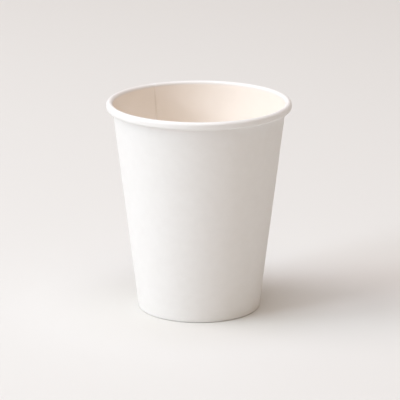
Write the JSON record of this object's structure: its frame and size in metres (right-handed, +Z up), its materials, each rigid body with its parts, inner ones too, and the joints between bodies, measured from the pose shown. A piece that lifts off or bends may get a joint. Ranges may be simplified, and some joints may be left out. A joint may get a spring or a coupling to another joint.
{
  "type": "paper cup",
  "caption": "Single-wall paper cup for a hot drink, a plain white cone with a lapped side seam, a rolled rim and a raised bottom.",
  "frame": {"origin": "centre of the cup on the surface that it stands on", "axes": "+Z up along the cup's axis; the front of the cup is at -Y, and the inner edge of the side seam is at the back left"},
  "size_m": [0.08, 0.08, 0.092],
  "materials": {
    "wall_board": "smooth white coated paperboard, satin",
    "bottom_board": "smooth white coated paperboard, satin"
  },
  "bodies": {
    "root": {"side_wall": "wall_board", "bottom_disc": "bottom_board"}
  },
  "joints": []
}
